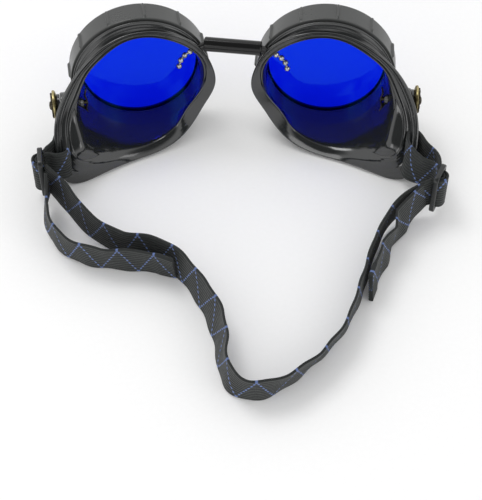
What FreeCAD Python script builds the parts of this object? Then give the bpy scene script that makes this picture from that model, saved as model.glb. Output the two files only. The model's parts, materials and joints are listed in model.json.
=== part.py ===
"""Goggles with two moulded eye cups, screw-on lens rings, a chain bridge and an elastic strap.

Frame, in millimetres: +X to the right seen from behind, +Y to the front, +Z up. The origin is on the
table, under the middle of the goggles. Each cup and what it carries is drawn in a bench frame with
the lens axis along +Z (front), +X to the right and +Y down, and is then set in its place.
"""
import math
import os

import FreeCAD
import Part
from FreeCAD import Placement, Rotation, Vector

SIDES = (("left", -1), ("right", 1))

# Driving dimensions: alias, value in millimetres or degrees, what it is
DIMENSIONS = (
    ("lens_radius", 25.0, "lens disc"),
    ("lens_thickness", 2.0, "lens disc"),
    ("seal_thickness", 1.0, "seal between lens and cup"),
    ("seal_width", 1.4, "radial width of the seal"),
    ("fit_gap", 0.06, "running clearance between pieces that turn on each other"),
    ("seat_gap", 0.05, "clearance between pieces that lie face to face"),
    ("overrun", 1.0, "extra length of every cutting solid"),
    ("lens_side_gap", 0.9, "edge of the lens to the thread of the ring"),
    ("lens_seat", 1.0, "width of the cup's collar under the lens"),
    ("collar_length", 8.1, "collar in front of the shoulder"),
    ("shoulder_step", 1.1, "step of the cup behind the ring, outside the collar"),
    ("shoulder_height", 0.8, "step behind the ring"),
    ("wall", 2.0, "moulded wall of the cup"),
    ("flange_rise", 1.8, "depth over which the wall flares into the face flange"),
    ("flange_edge", 1.2, "thickness of the face flange at its edge"),
    ("flange_depth", 24.1, "deepest point of the face flange behind the shoulder"),
    ("ring_wall", 2.4, "wall of the lens ring outside its thread, without the ribs"),
    ("ring_depth", 12.0, "lens ring, front to back"),
    ("ring_lip", 1.2, "front lip of the ring that holds the lens"),
    ("lip_hold", 1.4, "front lip of the ring over the edge of the lens"),
    ("ring_bevel", 1.6, "bevel round the front of the ring"),
    ("rib_width", 2.2, "grip rib of the ring"),
    ("rib_length", 7.0, "grip rib of the ring"),
    ("rib_height", 0.5, "grip rib of the ring"),
    ("rib_root", 1.4, "foot of a grip rib inside the ring"),
    ("rib_count", 12, "grip ribs of one ring"),
    ("lens_spread", 76.4, "between the two lens centres"),
    ("spread_shift", -0.75, "middle of the lens centres from the middle of the goggles"),
    ("lens_setback", 16.9, "lens centres in front of the origin"),
    ("left_toe_out", 9.5, "degrees the left cup looks outward"),
    ("right_toe_out", 4.5, "degrees the right cup looks outward"),
    ("tip_angle", 5.45, "degrees the cups lean forward on the table"),
    ("badge_radius", 6.0, "brass disc on the temple"),
    ("badge_thickness", 1.2, "brass disc on the temple"),
    ("badge_standoff", 1.0, "back of the brass disc outside the face flange"),
    ("boss_setback", 0.4, "moulded boss behind the shoulder of the cup"),
    ("badge_drop", 5.5, "centre of the brass disc below the lens axis"),
    ("boss_radius", 3.2, "moulded boss under the brass disc"),
    ("boss_sink", 1.8, "inner end of the boss inside the edge of the lens"),
    ("spacer_thickness", 1.2, "washer between boss and brass disc"),
    ("spacer_radius", 3.8, "washer between boss and brass disc"),
    ("cog_radius", 4.2, "cog on the brass disc, to the root of its teeth"),
    ("cog_thickness", 1.2, "cog on the brass disc"),
    ("cog_tooth", 0.9, "height of a cog tooth"),
    ("cog_tooth_width", 1.3, "width of a cog tooth"),
    ("cog_count", 12, "teeth of the cog"),
    ("pin_radius", 0.9, "post of the split pin"),
    ("pin_head_radius", 2.3, "head of the split pin"),
    ("pin_head_height", 1.3, "head of the split pin"),
    ("pin_leg_length", 4.5, "bent leg of the split pin"),
    ("pin_leg_width", 1.6, "bent leg of the split pin"),
    ("pin_leg_thickness", 0.6, "bent leg of the split pin"),
    ("bridge_radius", 2.9, "tube over the chain"),
    ("bridge_bore", 1.7, "radius of the bore of the tube"),
    ("bridge_standoff", 3.1, "end of the tube outside the face flange"),
    ("bridge_angle", 151.0, "degrees from the temple, over the top, to the end of the tube"),
    ("bridge_lead", 1.8, "end of the tube in front of the face flange"),
    ("bead_radius", 1.2, "ball of the chain"),
    ("bead_pitch", 3.1, "ball to ball along the chain"),
    ("link_radius", 0.45, "wire between the balls"),
    ("chain_gap", 0.3, "play between the last ball in the bridge and the wire of a loose end"),
    ("chain_hole", 1.7, "radius of the hole in the cup for the chain"),
    ("strap_width", 15.0, "elastic webbing"),
    ("strap_thickness", 1.2, "elastic webbing"),
    ("slot_width", 3.6, "strap slot"),
    ("slot_margin", 1.0, "strap slot beyond each edge of the strap"),
    ("slider_length", 11.0, "slider along the strap"),
    ("slider_thickness", 2.0, "slider plate"),
    ("slider_end_bar", 1.6, "outer bar of the slider"),
    ("slider_mid_bar", 1.8, "middle bar of the slider"),
    ("slider_rail", 1.9, "rail of the slider beside the strap"),
    ("slider_side_gap", 0.3, "strap edge to slider rail"),
    ("slider_height", 13.2, "middle of the slider above the table"),
)

# Face flange of a cup: degrees from the temple over the top, then shares of lens_radius for the inner
# and outer edge and a share of flange_depth for how far behind the shoulder the flange lies
FLANGE_SHARES = (
    (0, 1.040, 1.352, 0.444),
    (22, 0.936, 1.136, 0.320),
    (45, 0.892, 1.048, 0.278),
    (70, 0.880, 1.008, 0.196),
    (90, 0.880, 0.996, 0.154),
    (115, 0.920, 1.052, 0.187),
    (145, 0.984, 1.116, 0.170),
    (180, 1.040, 1.176, 0.111),
    (203, 0.936, 1.124, 0.162),
    (225, 0.872, 1.132, 0.252),
    (245, 0.960, 1.168, 0.391),
    (270, 1.056, 1.176, 0.551),
    (294, 1.200, 1.312, 0.726),
    (306, 1.344, 1.512, 0.876),
    (316, 1.440, 1.780, 0.983),
    (325, 1.400, 1.800, 1.000),
    (334, 1.310, 1.690, 0.908),
    (345, 1.205, 1.552, 0.652),
)

# Strap slot: shares of lens_radius across from the lens axis to its middle and down, and a share of
# flange_depth behind the shoulder where its cut begins
SLOT_SHARES = (1.320, 0.704, 0.378)

# Sizes that follow from the driving ones: alias and rule
TEMPLE = FLANGE_SHARES[0]
NOSE = FLANGE_SHARES[6]
RULES = (
    ("collar_radius", "lens_radius + lens_side_gap"),
    ("collar_bore", "lens_radius - lens_seat"),
    ("shoulder_radius", "collar_radius + shoulder_step"),
    ("ring_radius", "collar_radius + ring_wall"),
    ("ring_opening", "lens_radius - lip_hold"),
    ("shoulder_back", "seal_thickness + collar_length + shoulder_height"),
    ("badge_reach", "%s * lens_radius + badge_standoff" % TEMPLE[2]),
    ("badge_setback", "shoulder_back + boss_setback + boss_radius"),
    ("boss_inner_reach", "lens_radius - boss_sink"),
    ("bridge_reach", "%s * lens_radius + bridge_standoff" % NOSE[2]),
    ("bridge_setback", "shoulder_back + %s * flange_depth - bridge_lead" % NOSE[3]),
    ("slot_reach", "%s * lens_radius" % SLOT_SHARES[0]),
    ("slot_drop", "%s * lens_radius" % SLOT_SHARES[1]),
    ("slot_front", "shoulder_back + %s * flange_depth" % SLOT_SHARES[2]),
    ("slot_length", "flange_depth + shoulder_back - slot_front + overrun"),
)

# Loose end of the chain inside a cup: shares of lens_radius across from the lens axis to the nose and
# up, and a share of flange_depth behind the shoulder, ball by ball
CHAIN_END_SHARES = (
    (0.800, 0.470, 0.055),
    (0.712, 0.398, 0.038),
    (0.648, 0.300, 0.021),
    (0.616, 0.182, 0.012),
)

# The strap lies from the strap slots, so places and routes on the table count across and along from the
# middle of a slot. Sliders have the direction of their outer face, in degrees from +X, and routes their
# height above the table
SLIDER_PLACES = {
    "left": (-7.6, -20.3, 187.5),
    "right": (10.8, -31.6, -24.8),
}
# Main run, from each slider to where the halves meet
MAIN_ROUTES = {
    "left": (
        (0.7, -27.9, 12.0),
        (10.7, -41.9, 8.6),
        (24.2, -51.9, 7.7),
        (39.2, -54.4, 7.7),
        (51.2, -64.4, 7.7),
        (61.2, -80.9, 7.7),
        (65.7, -96.9, 7.7),
        (64.7, -111.9, 7.7),
        (73.2, -121.4, 7.7),
    ),
    "right": (
        (-2.6, -37.0, 11.0),
        (-10.6, -47.5, 8.6),
        (-17.6, -65.5, 7.7),
        (-23.6, -85.5, 7.7),
        (-33.6, -105.5, 7.7),
        (-48.6, -119.5, 7.7),
    ),
}
# Loop from the slider through the slot and back
LOOP_ROUTES = {
    "left": (
        (-5.8, -17.4, 13.2),
        (-1.8, -18.5, 13.2),
        (3.5, -16.5, 13.2),
        (2.3, -8.9, 13.2),
        (0.9, -2.5, 13.2),
        (-3.2, -0.9, 13.2),
        (-6.4, -5.3, 13.2),
        (-7.0, -10.9, 13.2),
        (-6.1, -15.7, 13.2),
    ),
    "right": (
        (9.9, -28.3, 13.2),
        (5.8, -24.1, 13.2),
        (-0.6, -19.5, 13.2),
        (0.0, -10.5, 13.2),
        (1.0, -2.7, 13.2),
        (5.2, -0.7, 13.2),
        (9.0, -5.3, 13.2),
        (11.0, -13.1, 13.2),
        (11.7, -20.5, 13.2),
        (10.7, -26.7, 13.2),
    ),
}
# Free tail from the slider
TAIL_ROUTES = {
    "left": (
        (-4.9, -25.7, 13.2),
        (-7.2, -32.9, 11.2),
        (-6.0, -42.9, 8.6),
        (0.7, -53.4, 7.7),
        (11.7, -59.4, 7.7),
        (23.2, -60.9, 7.7),
        (34.2, -59.9, 7.7),
        (43.7, -63.9, 7.7),
    ),
    "right": (
        (6.6, -36.0, 13.2),
        (2.2, -40.3, 11.2),
        (-3.6, -47.1, 8.6),
        (-8.6, -56.9, 7.7),
        (-12.6, -67.5, 7.7),
        (-16.0, -78.5, 7.7),
    ),
}
# Share of the shorter run that an arc of the strap may take at each end
ARC_SHARE = 0.45

doc = FreeCAD.newDocument("goggles")
sheet = doc.addObject("Spreadsheet::Sheet", "sheet")
for row, (alias, value, note) in enumerate(DIMENSIONS, 1):
    sheet.set("A%d" % row, note)
    sheet.set("B%d" % row, str(value))
    sheet.setAlias("B%d" % row, alias)
for row, (alias, rule) in enumerate(RULES, len(DIMENSIONS) + 1):
    sheet.set("A%d" % row, "follows from the sizes above")
    sheet.set("B%d" % row, "=" + rule)
    sheet.setAlias("B%d" % row, alias)
doc.recompute()

sub_parts = []


def size(alias):
    """Value of a driving dimension."""
    return float(sheet.get(alias))


def solid(kind, name, at=(), turn=None, **rules):
    """A Part primitive whose sizes and place are bound to the sheet."""
    item = doc.addObject("Part::" + kind, name)
    if turn:
        item.Placement = Placement(Vector(), turn)
    for prop, rule in rules.items():
        item.setExpression(prop, rule)
    for axis, rule in zip("xyz", at):
        item.setExpression("Placement.Base." + axis, rule)
    return item


def fused(name, items):
    """All items joined into one solid."""
    item = doc.addObject("Part::MultiFuse", name)
    item.Shapes = items
    return item


def cut(name, base, tools):
    """The base without the tools."""
    item = doc.addObject("Part::Cut", name)
    item.Base = base
    item.Tool = tools[0] if len(tools) == 1 else fused(name + "_tools", tools)
    return item


def feature(name, shape):
    """A free-form shape as an object of the document."""
    item = doc.addObject("Part::Feature", name)
    item.Shape = shape
    return item


def finish(item, node, place=Placement()):
    """Name a finished sub-part and set it in its place."""
    item.Label = node
    item.Placement = place
    sub_parts.append(item)


def toe_out(side_name):
    return size(side_name + "_toe_out")


def lens_height():
    """Height of the lens centres when the rings rest on the table."""
    tip = math.radians(size("tip_angle"))
    bevel_start = size("lens_thickness") + size("ring_lip") - size("ring_bevel")
    return size("ring_radius") * math.cos(tip) + bevel_start * math.sin(tip)


def cup_place(side_name, side):
    """From the bench frame of a cup to its place on the table."""
    middle = Vector(size("spread_shift") + side * size("lens_spread") / 2, size("lens_setback"), lens_height())
    yaw = Rotation(Vector(0, 0, 1), -side * toe_out(side_name))
    return Placement(middle, yaw * Rotation(Vector(1, 0, 0), -size("tip_angle") - 90))


def temple_place(side_name, side):
    """Frame on the temple with +Z along the axis of the brass disc, outward from the lens axis."""
    at = Vector(0, size("badge_drop"), -size("badge_setback"))
    return cup_place(side_name, side) * Placement(at, Rotation(Vector(0, 1, 0), side * 90))


def flange_ring(side, rise, edge_share=0, offset=0):
    """Closed curve round the face flange: edge_share 0 is its inner edge, 1 its outer edge.

    It starts at the nose and is parametrised by the angle about the lens axis, like a circle, so that
    the walls drawn between such curves and circles run straight."""
    stations = []
    for degrees, inner, outer, depth in FLANGE_SHARES:
        angle = math.radians(degrees)
        radius = size("lens_radius") * (inner + edge_share * (outer - inner)) + offset
        height = rise - size("shoulder_back") - depth * size("flange_depth")
        turn = (180 - side * degrees) % 360
        stations.append((turn, Vector(side * radius * math.cos(angle), -radius * math.sin(angle), height)))
    stations.sort(key=lambda station: station[0])
    turns = [math.radians(turn) for turn, point in stations]
    curve = Part.BSplineCurve()
    curve.interpolate(
        Points=[point for turn, point in stations],
        PeriodicFlag=True,
        Parameters=turns + [turns[0] + 2 * math.pi],
    )
    return curve.toShape()


def circle(side, radius, height):
    """Circle about the lens axis that starts at the nose."""
    edge = Part.Circle(Vector(0, 0, height), Vector(0, 0, 1), radius).toShape()
    if side > 0:
        edge.rotate(Vector(), Vector(0, 0, 1), 180)
    return edge


def cup_shell(side):
    """Moulded wall of a cup with its collar and face flange, closed by ruled walls from ring to ring."""
    end = -size("seal_thickness")
    front = end - size("collar_length")
    rings = [
        circle(side, size("collar_radius"), end),
        circle(side, size("collar_radius"), front),
        circle(side, size("shoulder_radius"), front),
        circle(side, size("shoulder_radius"), front - size("shoulder_height")),
        flange_ring(side, size("flange_rise"), offset=size("wall")),
        flange_ring(side, size("flange_edge"), edge_share=1),
        flange_ring(side, 0, edge_share=1),
        flange_ring(side, 0),
        circle(side, size("collar_bore"), front),
        circle(side, size("collar_bore"), end),
    ]
    walls = [Part.makeRuledSurface(a, b) for a, b in zip(rings, rings[1:] + rings[:1])]
    shell = Part.makeShell(walls)
    shell.sewShape()
    body = Part.makeSolid(Part.Shell(shell.Faces))
    if body.Volume < 0:
        body.reverse()
    return body


def eye_cup(side_name, side):
    name = side_name + "_cup_"
    shell = feature(name + "shell", cup_shell(side))
    outward = Rotation(Vector(0, 1, 0), side * 90)
    boss_place = ("%d * sheet.boss_inner_reach" % side, "sheet.badge_drop", "-sheet.badge_setback")
    boss = solid("Cylinder", name + "boss", boss_place, outward, Radius="sheet.boss_radius",
                 Height="sheet.badge_reach - sheet.spacer_thickness - sheet.boss_inner_reach - 2 * sheet.seat_gap")
    pin_start = "%d * (sheet.boss_inner_reach - sheet.overrun)" % side
    pin_hole = solid("Cylinder", name + "pin_hole", (pin_start,) + boss_place[1:], outward,
                     Radius="sheet.pin_radius + sheet.fit_gap", Height="sheet.badge_reach")
    slot_x = "%d * sheet.slot_reach - sheet.slot_width / 2" % side
    slot = solid("Box", name + "slot", (slot_x, "sheet.slot_drop - sheet.strap_width / 2 - sheet.slot_margin",
                                        "-sheet.slot_front - sheet.slot_length"),
                 Length="sheet.slot_width", Width="sheet.strap_width + 2 * sheet.slot_margin",
                 Height="sheet.slot_length")
    tube_end, inside = chain_line(side)
    hole = feature(name + "chain_hole", Part.makeCylinder(
        size("chain_hole"), (inside - tube_end).Length, tube_end, inside - tube_end))
    walls = fused(name + "walls", [shell, boss])
    finish(cut(name + "body", walls, [pin_hole, slot, hole]), side_name + "_eye_cup", cup_place(side_name, side))


def lens_ring(side_name, side):
    name = side_name + "_ring_"
    front = "sheet.lens_thickness + sheet.ring_lip"
    back = front + " - sheet.ring_depth"
    barrel = solid("Cylinder", name + "barrel", ("0", "0", back),
                   Radius="sheet.ring_radius", Height="sheet.ring_depth - sheet.ring_bevel")
    nose = solid("Cone", name + "nose", ("0", "0", front + " - sheet.ring_bevel"), Radius1="sheet.ring_radius",
                 Radius2="sheet.ring_radius - sheet.ring_bevel", Height="sheet.ring_bevel")
    ribs = []
    count = int(size("rib_count"))
    for index in range(count):
        turn = Rotation(Vector(0, 0, 1), (index + 0.5) * 360 / count)
        rib = doc.addObject("Part::Box", "%srib_%d" % (name, index))
        rib.setExpression("Length", "sheet.rib_root + sheet.rib_height")
        rib.setExpression("Width", "sheet.rib_width")
        rib.setExpression("Height", "sheet.rib_length")
        corner = Vector(size("ring_radius") - size("rib_root"), -size("rib_width") / 2,
                        size("lens_thickness") + size("ring_lip") - size("ring_bevel") - size("rib_length"))
        rib.Placement = Placement(turn.multVec(corner), turn)
        ribs.append(rib)
    thread = solid("Cylinder", name + "thread", ("0", "0", back + " - sheet.overrun"),
                   Radius="sheet.collar_radius + sheet.fit_gap",
                   Height="sheet.ring_depth - sheet.ring_lip + sheet.overrun + sheet.seat_gap")
    opening = solid("Cylinder", name + "opening", ("0", "0", "0"),
                    Radius="sheet.ring_opening", Height="sheet.ring_depth")
    blank = fused(name + "blank", [barrel, nose] + ribs)
    finish(cut(name + "body", blank, [thread, opening]), side_name + "_lens_ring", cup_place(side_name, side))


def lens(side_name, side):
    disc = solid("Cylinder", side_name + "_lens_disc", Radius="sheet.lens_radius", Height="sheet.lens_thickness")
    finish(disc, side_name + "_lens", cup_place(side_name, side))


def lens_seal(side_name, side):
    name = side_name + "_seal_"
    disc = solid("Cylinder", name + "disc", ("0", "0", "-sheet.seal_thickness + sheet.seat_gap"),
                 Radius="sheet.collar_bore + sheet.seal_width", Height="sheet.seal_thickness - 2 * sheet.seat_gap")
    bore = solid("Cylinder", name + "bore", ("0", "0", "-sheet.seal_thickness - sheet.overrun"),
                 Radius="sheet.collar_bore", Height="sheet.seal_thickness + 2 * sheet.overrun")
    finish(cut(name + "body", disc, [bore]), side_name + "_lens_seal", cup_place(side_name, side))


def washer(name, low, radius, thickness):
    """Round plate with a hole for the split pin, on the temple frame."""
    plate = solid("Cylinder", name + "plate", ("0", "0", low), Radius=radius, Height=thickness)
    hole = solid("Cylinder", name + "hole", ("0", "0", low + " - sheet.overrun"),
                 Radius="sheet.pin_radius + sheet.fit_gap", Height=thickness + " + 2 * sheet.overrun")
    return plate, hole


def temple_badge(side_name, side):
    """Washer, brass disc and cog on the temple, with the split pin that holds them."""
    place = temple_place(side_name, side)
    plate, hole = washer(side_name + "_spacer_", "sheet.badge_reach - sheet.spacer_thickness - sheet.seat_gap",
                         "sheet.spacer_radius", "sheet.spacer_thickness")
    finish(cut(side_name + "_spacer_body", plate, [hole]), side_name + "_disc_spacer", place)

    plate, hole = washer(side_name + "_disc_", "sheet.badge_reach", "sheet.badge_radius", "sheet.badge_thickness")
    finish(cut(side_name + "_disc_body", plate, [hole]), side_name + "_brass_disc", place)

    low = "sheet.badge_reach + sheet.badge_thickness"
    plate, hole = washer(side_name + "_cog_", low, "sheet.cog_radius", "sheet.cog_thickness")
    teeth = []
    count = int(size("cog_count"))
    for index in range(count):
        turn = Rotation(Vector(0, 0, 1), index * 360 / count)
        tooth = doc.addObject("Part::Box", "%s_cog_tooth_%d" % (side_name, index))
        tooth.setExpression("Length", "sheet.cog_tooth + sheet.overrun")
        tooth.setExpression("Width", "sheet.cog_tooth_width")
        tooth.setExpression("Height", "sheet.cog_thickness")
        corner = Vector(size("cog_radius") - size("overrun"), -size("cog_tooth_width") / 2,
                        size("badge_reach") + size("badge_thickness"))
        tooth.Placement = Placement(turn.multVec(corner), turn)
        teeth.append(tooth)
    finish(cut(side_name + "_cog_body", fused(side_name + "_cog_blank", [plate] + teeth), [hole]),
           side_name + "_cog", place)

    top = "sheet.badge_reach + sheet.badge_thickness + sheet.cog_thickness + sheet.seat_gap"
    head = solid("Cone", side_name + "_pin_head", ("0", "0", top), Radius1="sheet.pin_head_radius",
                 Radius2="sheet.pin_head_radius / 2", Height="sheet.pin_head_height")
    leg_level = "sheet.boss_inner_reach - sheet.pin_leg_thickness - sheet.seat_gap"
    post = solid("Cylinder", side_name + "_pin_post", ("0", "0", leg_level), Radius="sheet.pin_radius",
                 Height=top + " - (" + leg_level + ")")
    legs = solid("Box", side_name + "_pin_legs", ("-sheet.pin_leg_width / 2", "-sheet.pin_leg_length", leg_level),
                 Length="sheet.pin_leg_width", Width="2 * sheet.pin_leg_length", Height="sheet.pin_leg_thickness")
    finish(fused(side_name + "_pin_body", [head, post, legs]), side_name + "_split_pin", place)


def from_slot(side_name, across, along, height):
    """A point on the table plan counted from the middle of a strap slot, at a height above the table."""
    side = dict(SIDES)[side_name]
    middle = cup_place(side_name, side).multVec(Vector(side * size("slot_reach"), size("slot_drop"), -size("slot_front")))
    return Vector(middle.x + across, middle.y + along, height)


def laid(side_name, route):
    return [from_slot(side_name, *point) for point in route]


def slider_place(side_name):
    """Frame of a slider: +X out of its outer face, +Y along the strap, +Z up."""
    across, along, turn = SLIDER_PLACES[side_name]
    return Placement(from_slot(side_name, across, along, size("slider_height")), Rotation(Vector(0, 0, 1), turn))


def near_side(side_name):
    """Sign of +Y of the slider frame on the side of the near window."""
    return 1 if side_name == "left" else -1


def window_reach():
    """Middle of a slider window from the middle of the slider."""
    return (size("slider_mid_bar") / 2 + size("slider_length") / 2 - size("slider_end_bar")) / 2


def slider(side_name):
    name = side_name + "_slider_"
    tall = "sheet.strap_width + 2 * sheet.slider_side_gap"
    plate = solid("Box", name + "plate", ("-sheet.slider_thickness / 2", "-sheet.slider_length / 2",
                                          "-(%s) / 2 - sheet.slider_rail" % tall),
                  Length="sheet.slider_thickness", Width="sheet.slider_length",
                  Height=tall + " + 2 * sheet.slider_rail")
    span = "sheet.slider_length / 2 - sheet.slider_end_bar - sheet.slider_mid_bar / 2"
    windows = []
    for index, low in enumerate(("sheet.slider_mid_bar / 2", "sheet.slider_end_bar - sheet.slider_length / 2")):
        windows.append(solid("Box", "%swindow_%d" % (name, index),
                             ("-sheet.slider_thickness / 2 - sheet.overrun", low, "-(%s) / 2" % tall),
                             Length="sheet.slider_thickness + 2 * sheet.overrun", Width=span, Height=tall))
    finish(cut(name + "body", plate, windows), side_name + "_slider", slider_place(side_name))


def wrap_route(side_name):
    """Strap through a slider: in at the far window, over the middle bar, back at the near window."""
    outer = size("slider_thickness") / 2 + size("slider_side_gap") + size("strap_thickness") / 2
    inner = -size("slider_thickness") / 2 - size("strap_thickness") / 2
    reach = window_reach() * near_side(side_name)
    corners = ((inner, -reach), (outer, -reach), (outer, reach), (inner, reach))
    place = slider_place(side_name)
    return [place.multVec(Vector(across, along, 0)) for across, along in corners]


def smooth_path(points):
    """Straight runs joined by tangent arcs, with the radius of each arc."""
    edges = []
    radii = []
    start = points[0]
    for before, corner, after in zip(points, points[1:], points[2:]):
        back = (before - corner).normalize()
        ahead = (after - corner).normalize()
        half_turn = (math.pi - back.getAngle(ahead)) / 2
        reach = ARC_SHARE * min((before - corner).Length, (after - corner).Length)
        radius = reach / math.tan(half_turn)
        bisector = (back + ahead).normalize()
        apex = corner + bisector * (radius / math.cos(half_turn) - radius)
        enter = corner + back * reach
        leave = corner + ahead * reach
        edges.append(Part.LineSegment(start, enter).toShape())
        edges.append(Part.Arc(enter, apex, leave).toShape())
        radii.append(radius)
        start = leave
    edges.append(Part.LineSegment(start, points[-1]).toShape())
    return Part.Wire(edges), radii


def webbing(node, points):
    """Flat band of the strap standing on edge along a route."""
    path, radii = smooth_path(points)
    start = points[0]
    along = (points[1] - start).normalize()
    across = along.cross(Vector(0, 0, 1)).normalize() * (size("strap_thickness") / 2)
    up = Vector(0, 0, size("strap_width") / 2)
    corners = [start + across + up, start - across + up, start - across - up, start + across - up]
    sweep = Part.BRepOffsetAPI.MakePipeShell(path)
    sweep.setBiNormalMode(Vector(0, 0, 1))
    sweep.add(Part.makePolygon(corners + corners[:1]))
    sweep.build()
    sweep.makeSolid()
    band = sweep.shape()
    section = size("strap_thickness") * size("strap_width")
    print("%s: length %.1f, volume share %.3f, radii %s" % (
        node, path.Length, band.Volume / (section * path.Length), ", ".join("%.1f" % r for r in radii)))
    finish(feature(node + "_band", band), node)


def chain_point(side, shares):
    """A ball of the loose end of the chain, in the bench frame."""
    across, up, depth = shares
    return Vector(-side * across * size("lens_radius"), -up * size("lens_radius"),
                  -size("shoulder_back") - depth * size("flange_depth"))


def chain_line(side):
    """End of the bridge tube and the first ball inside the cup, in the bench frame."""
    angle = math.radians(size("bridge_angle"))
    reach = size("bridge_reach")
    tube_end = Vector(side * reach * math.cos(angle), -reach * math.sin(angle), -size("bridge_setback"))
    return tube_end, chain_point(side, CHAIN_END_SHARES[0])


def chain_end(side_name, side):
    """Loose end of the chain, from just outside the last ball in the bridge to its last ball in the cup."""
    tube_end, inside = chain_line(side)
    start = tube_end + (inside - tube_end).normalize() * (size("bead_radius") + size("chain_gap"))
    balls = [chain_point(side, shares) for shares in CHAIN_END_SHARES]
    wires = [Part.makeCylinder(size("link_radius"), (after - before).Length, before, after - before)
             for before, after in zip([start] + balls, balls)]
    beads = wires[0].fuse(wires[1:] + [Part.makeSphere(size("bead_radius"), ball) for ball in balls])
    finish(feature(side_name + "_chain_beads", beads), side_name + "_chain_end", cup_place(side_name, side))


def straight_chain(span):
    """Balls on a straight wire as long as the span, turned from one profile along +Z."""
    ball = size("bead_radius")
    wire = size("link_radius")
    step = span.Length / round(span.Length / size("bead_pitch"))
    shoulder = math.sqrt(ball ** 2 - wire ** 2)
    middles = [index * step for index in range(round(span.Length / step) + 1)]
    outline = []
    last = Vector(0, 0, -ball)
    for middle in middles:
        first, final = middle == middles[0], middle == middles[-1]
        begin = last if first else Vector(wire, 0, middle - shoulder)
        end = Vector(0, 0, middle + ball) if final else Vector(wire, 0, middle + shoulder)
        if not first:
            outline.append(Part.LineSegment(last, begin).toShape())
        outline.append(Part.Arc(begin, Vector(ball, 0, middle), end).toShape())
        last = end
    outline.append(Part.LineSegment(last, Vector(0, 0, -ball)).toShape())
    return Part.Face(Part.Wire(outline)).revolve(Vector(), Vector(0, 0, 1), 360)


def bridge():
    """Tube between the cups with the chain inside it. The last ball at each end is where a cup turns."""
    ends = [cup_place(name, side).multVec(chain_line(side)[0]) for name, side in SIDES]
    span = ends[1] - ends[0]
    tube = Part.makeCylinder(size("bridge_radius"), span.Length, ends[0], span)
    bore = Part.makeCylinder(size("bridge_bore"), span.Length, ends[0], span)
    finish(feature("bridge_tube_wall", tube.cut(bore)), "bridge_tube")
    finish(feature("bridge_chain_beads", straight_chain(span)), "bridge_chain",
           Placement(ends[0], Rotation(Vector(0, 0, 1), span)))
    print("bridge ends", [tuple(round(value, 3) for value in end) for end in ends])


for side_name, side in SIDES:
    eye_cup(side_name, side)
    lens_ring(side_name, side)
    lens(side_name, side)
    lens_seal(side_name, side)
    temple_badge(side_name, side)
    chain_end(side_name, side)
    slider(side_name)
    webbing(side_name + "_strap_loop", laid(side_name, LOOP_ROUTES[side_name]))
    webbing(side_name + "_strap_tail", laid(side_name, TAIL_ROUTES[side_name]))
halves = [wrap_route(side_name) + laid(side_name, MAIN_ROUTES[side_name]) for side_name, side in SIDES]
webbing("strap_main", halves[0] + halves[1][::-1])
bridge()
doc.recompute()

for item in doc.Objects:
    if "Invalid" in item.State or "Error" in item.State:
        raise RuntimeError("%s failed: %s" % (item.Label, item.State))
for item in sub_parts:
    if item.Shape.isNull() or not item.Shape.isValid() or not item.Shape.Solids:
        raise RuntimeError("%s has no valid solid" % item.Label)

os.makedirs("parts", exist_ok=True)
for item in sub_parts:
    item.Shape.exportStep("parts/%s.step" % item.Label)
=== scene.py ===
"""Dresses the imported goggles: moulded cups, ribbed lens rings, blue lenses, brass temple discs, the chain
bridge and the elastic strap, on a pale table. Lengths in the tables are millimetres; meshes are metres."""
import json
import math

import bmesh
import bpy
import numpy as np
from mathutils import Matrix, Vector


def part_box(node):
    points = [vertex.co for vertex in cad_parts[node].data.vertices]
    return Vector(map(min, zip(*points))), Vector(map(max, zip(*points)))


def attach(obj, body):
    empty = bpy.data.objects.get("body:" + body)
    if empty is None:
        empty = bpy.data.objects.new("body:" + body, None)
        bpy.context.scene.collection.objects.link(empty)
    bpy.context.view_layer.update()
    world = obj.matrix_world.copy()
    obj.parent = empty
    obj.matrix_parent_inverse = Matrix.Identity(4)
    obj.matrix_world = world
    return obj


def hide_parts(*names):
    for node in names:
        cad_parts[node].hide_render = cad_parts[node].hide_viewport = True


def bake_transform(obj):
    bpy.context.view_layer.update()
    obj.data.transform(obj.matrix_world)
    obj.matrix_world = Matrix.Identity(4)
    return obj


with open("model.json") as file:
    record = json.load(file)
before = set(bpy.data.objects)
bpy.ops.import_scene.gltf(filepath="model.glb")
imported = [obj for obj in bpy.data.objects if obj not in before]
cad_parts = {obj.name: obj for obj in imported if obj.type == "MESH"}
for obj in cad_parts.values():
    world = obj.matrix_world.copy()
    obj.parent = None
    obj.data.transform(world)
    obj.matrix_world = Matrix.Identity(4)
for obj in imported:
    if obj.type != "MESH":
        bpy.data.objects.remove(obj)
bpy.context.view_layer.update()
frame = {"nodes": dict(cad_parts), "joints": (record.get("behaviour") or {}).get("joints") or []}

bl_info = {
    "name": "Goggles",
    "version": (1, 0, 0),
    "blender": (4, 5, 0),
    "location": "View3D > Sidebar > Goggles",
    "description": "Dresses a pair of round-lens goggles and their elastic strap",
    "category": "Object",
}

MM = 0.001
TURN = 2 * math.pi
CREASE = 35
SIGN = {"left": -1, "right": 1}
JOINTS = {joint["name"]: joint for joint in frame["joints"]}

# Face flange of a cup: degrees from the temple over the top, inner and outer radius, depth behind the lens
FLANGE = np.array((
    (0, 27.0, 33.8, 20.6), (22, 23.9, 28.4, 17.6), (45, 22.4, 26.2, 16.6), (70, 22.0, 25.1, 14.6),
    (90, 22.0, 24.8, 13.6), (115, 23.0, 26.2, 14.4), (145, 24.6, 27.9, 14.0), (172, 26.0, 29.0, 12.7),
    (190, 24.9, 29.9, 12.9), (207, 22.6, 28.2, 14.2), (225, 21.8, 28.3, 16.0), (245, 24.0, 29.2, 19.3),
    (270, 26.4, 29.4, 23.2), (294, 30.0, 32.8, 27.4), (306, 33.6, 37.8, 31.0), (316, 36.4, 44.5, 33.6),
    (325, 36.0, 45.0, 34.0), (334, 34.2, 42.3, 31.8), (345, 32.0, 38.8, 25.6)))
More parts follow.
